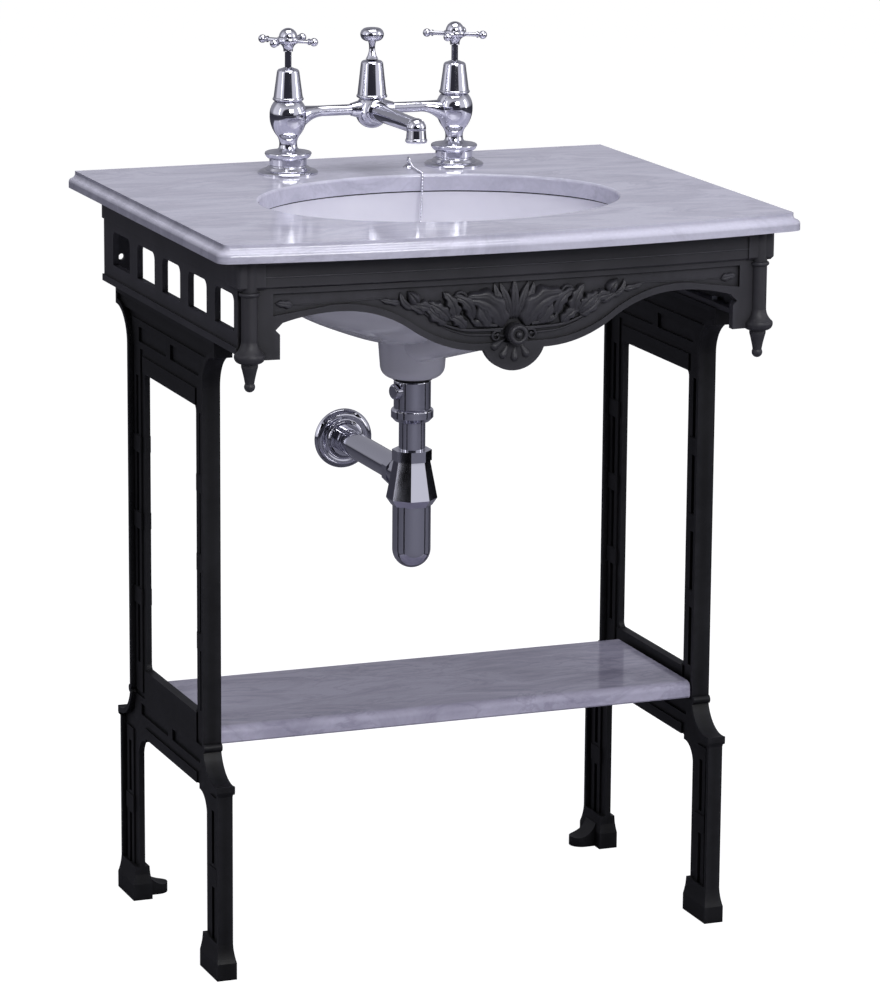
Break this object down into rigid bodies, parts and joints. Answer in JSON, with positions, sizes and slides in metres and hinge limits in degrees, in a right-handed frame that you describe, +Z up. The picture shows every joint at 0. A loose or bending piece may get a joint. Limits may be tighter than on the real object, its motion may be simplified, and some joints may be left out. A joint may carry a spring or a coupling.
{
  "type": "console sink with legs",
  "caption": "Console sink: marble top with under-counter oval basin, cast apron and side frames, marble shelf, bridge mixer and bottle trap.",
  "frame": {"origin": "on the floor under the middle of the bounding box", "axes": "+X to the right seen from the front, +Y towards the wall, +Z up"},
  "size_m": [0.704, 0.6, 1.055],
  "materials": {
    "marble": "polished pale marble with grey veins",
    "shelf_marble": "polished marble, slightly darker",
    "ceramic": "glazed white vitreous china",
    "cast_iron": "charcoal painted casting",
    "chrome": "polished chrome plate",
    "zinc_steel": "zinc plated",
    "brass": "plain brass",
    "fibre": "red fibre washer",
    "seal_rubber": "black rubber",
    "plug_rubber": "white rubber plug"
  },
  "bodies": {
    "stand": {"marble_top": "marble", "basin_bowl": "ceramic", "basin_seal": "seal_rubber", "basin_clips": "zinc_steel", "clip_screws": "zinc_steel", "apron_front": "cast_iron", "apron_bolts": "zinc_steel", "apron_side_left": "cast_iron", "apron_side_right": "cast_iron", "pendant_left": "cast_iron", "pendant_right": "cast_iron", "frame_bolts": "zinc_steel", "side_frame_left": "cast_iron", "side_frame_right": "cast_iron", "shelf_slab": "shelf_marble", "shelf_pads": "seal_rubber", "tap_base_left": "chrome", "tap_base_right": "chrome", "tap_body_left": "chrome", "tap_body_right": "chrome", "tap_bonnet_left": "chrome", "tap_bonnet_right": "chrome", "tap_washers": "fibre", "tap_backnuts": "brass", "bridge_pipe_left": "chrome", "bridge_pipe_right": "chrome", "centre_body": "chrome", "centre_bonnet": "chrome", "spout_collar": "chrome", "spout": "chrome", "spout_nozzle": "chrome", "chain_stay": "chrome", "chain_stay_nut": "zinc_steel", "plug_chain": "chrome", "waste_flange": "chrome", "waste_gasket": "seal_rubber", "waste_body": "chrome", "tail_nut": "chrome", "tail_pipe": "chrome", "trap_nut": "chrome", "trap_body": "chrome", "trap_bottle": "chrome", "outlet_nut": "chrome", "outlet_pipe": "chrome", "wall_flange": "chrome"},
    "hot_handle": {"tap_spindle_left": "chrome", "tap_handle_left": "chrome", "tap_cap_left": "chrome"},
    "cold_handle": {"tap_spindle_right": "chrome", "tap_handle_right": "chrome", "tap_cap_right": "chrome"},
    "pull_knob": {"centre_knob": "chrome"},
    "plug": {"basin_plug": "plug_rubber"}
  },
  "joints": [
    {"name": "hot_turn", "type": "hinge", "parent": "stand", "child": "hot_handle", "pos_m": [-0.107, 0.201, 1.04], "axis": [0, 0, 1], "range_deg": [0, 90]},
    {"name": "cold_turn", "type": "hinge", "parent": "stand", "child": "cold_handle", "pos_m": [0.107, 0.201, 1.04], "axis": [0, 0, 1], "range_deg": [-90, 0]},
    {"name": "knob_lift", "type": "slide", "parent": "stand", "child": "pull_knob", "axis": [0, 0, 1], "range_m": [0, 0.012]},
    {"name": "plug_lift", "type": "slide", "parent": "stand", "child": "plug", "axis": [0, 0, 1], "range_m": [0, 0.1], "deforming": ["plug_chain"]}
  ]
}
